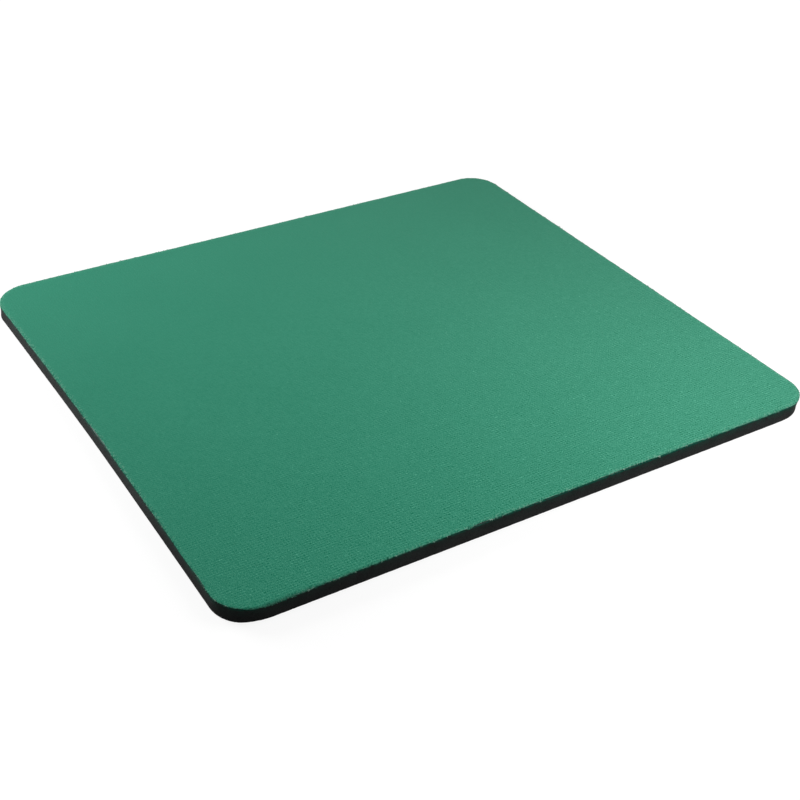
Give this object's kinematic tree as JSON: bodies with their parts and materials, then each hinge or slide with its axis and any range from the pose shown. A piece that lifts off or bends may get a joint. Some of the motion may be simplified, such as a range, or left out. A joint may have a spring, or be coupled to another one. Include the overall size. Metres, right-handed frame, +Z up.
{
  "type": "mouse pad",
  "caption": "Flexible desk pad for a computer mouse: a knitted cloth top bonded to a foam rubber base, with rounded corners and a raw cut edge.",
  "frame": {"origin": "centre of the pad's plan, on the face that rests on the desk", "axes": "+X along the long sides to the user's right, +Y away from the user, +Z up out of the cloth"},
  "size_m": [0.25, 0.225, 0.006],
  "materials": {
    "foam_rubber": "matte",
    "adhesive": "matte",
    "cover_fabric": "matte"
  },
  "bodies": {
    "root": {"foam_rubber_base": "foam_rubber", "adhesive_film": "adhesive", "fabric_cover": "cover_fabric"}
  },
  "joints": []
}
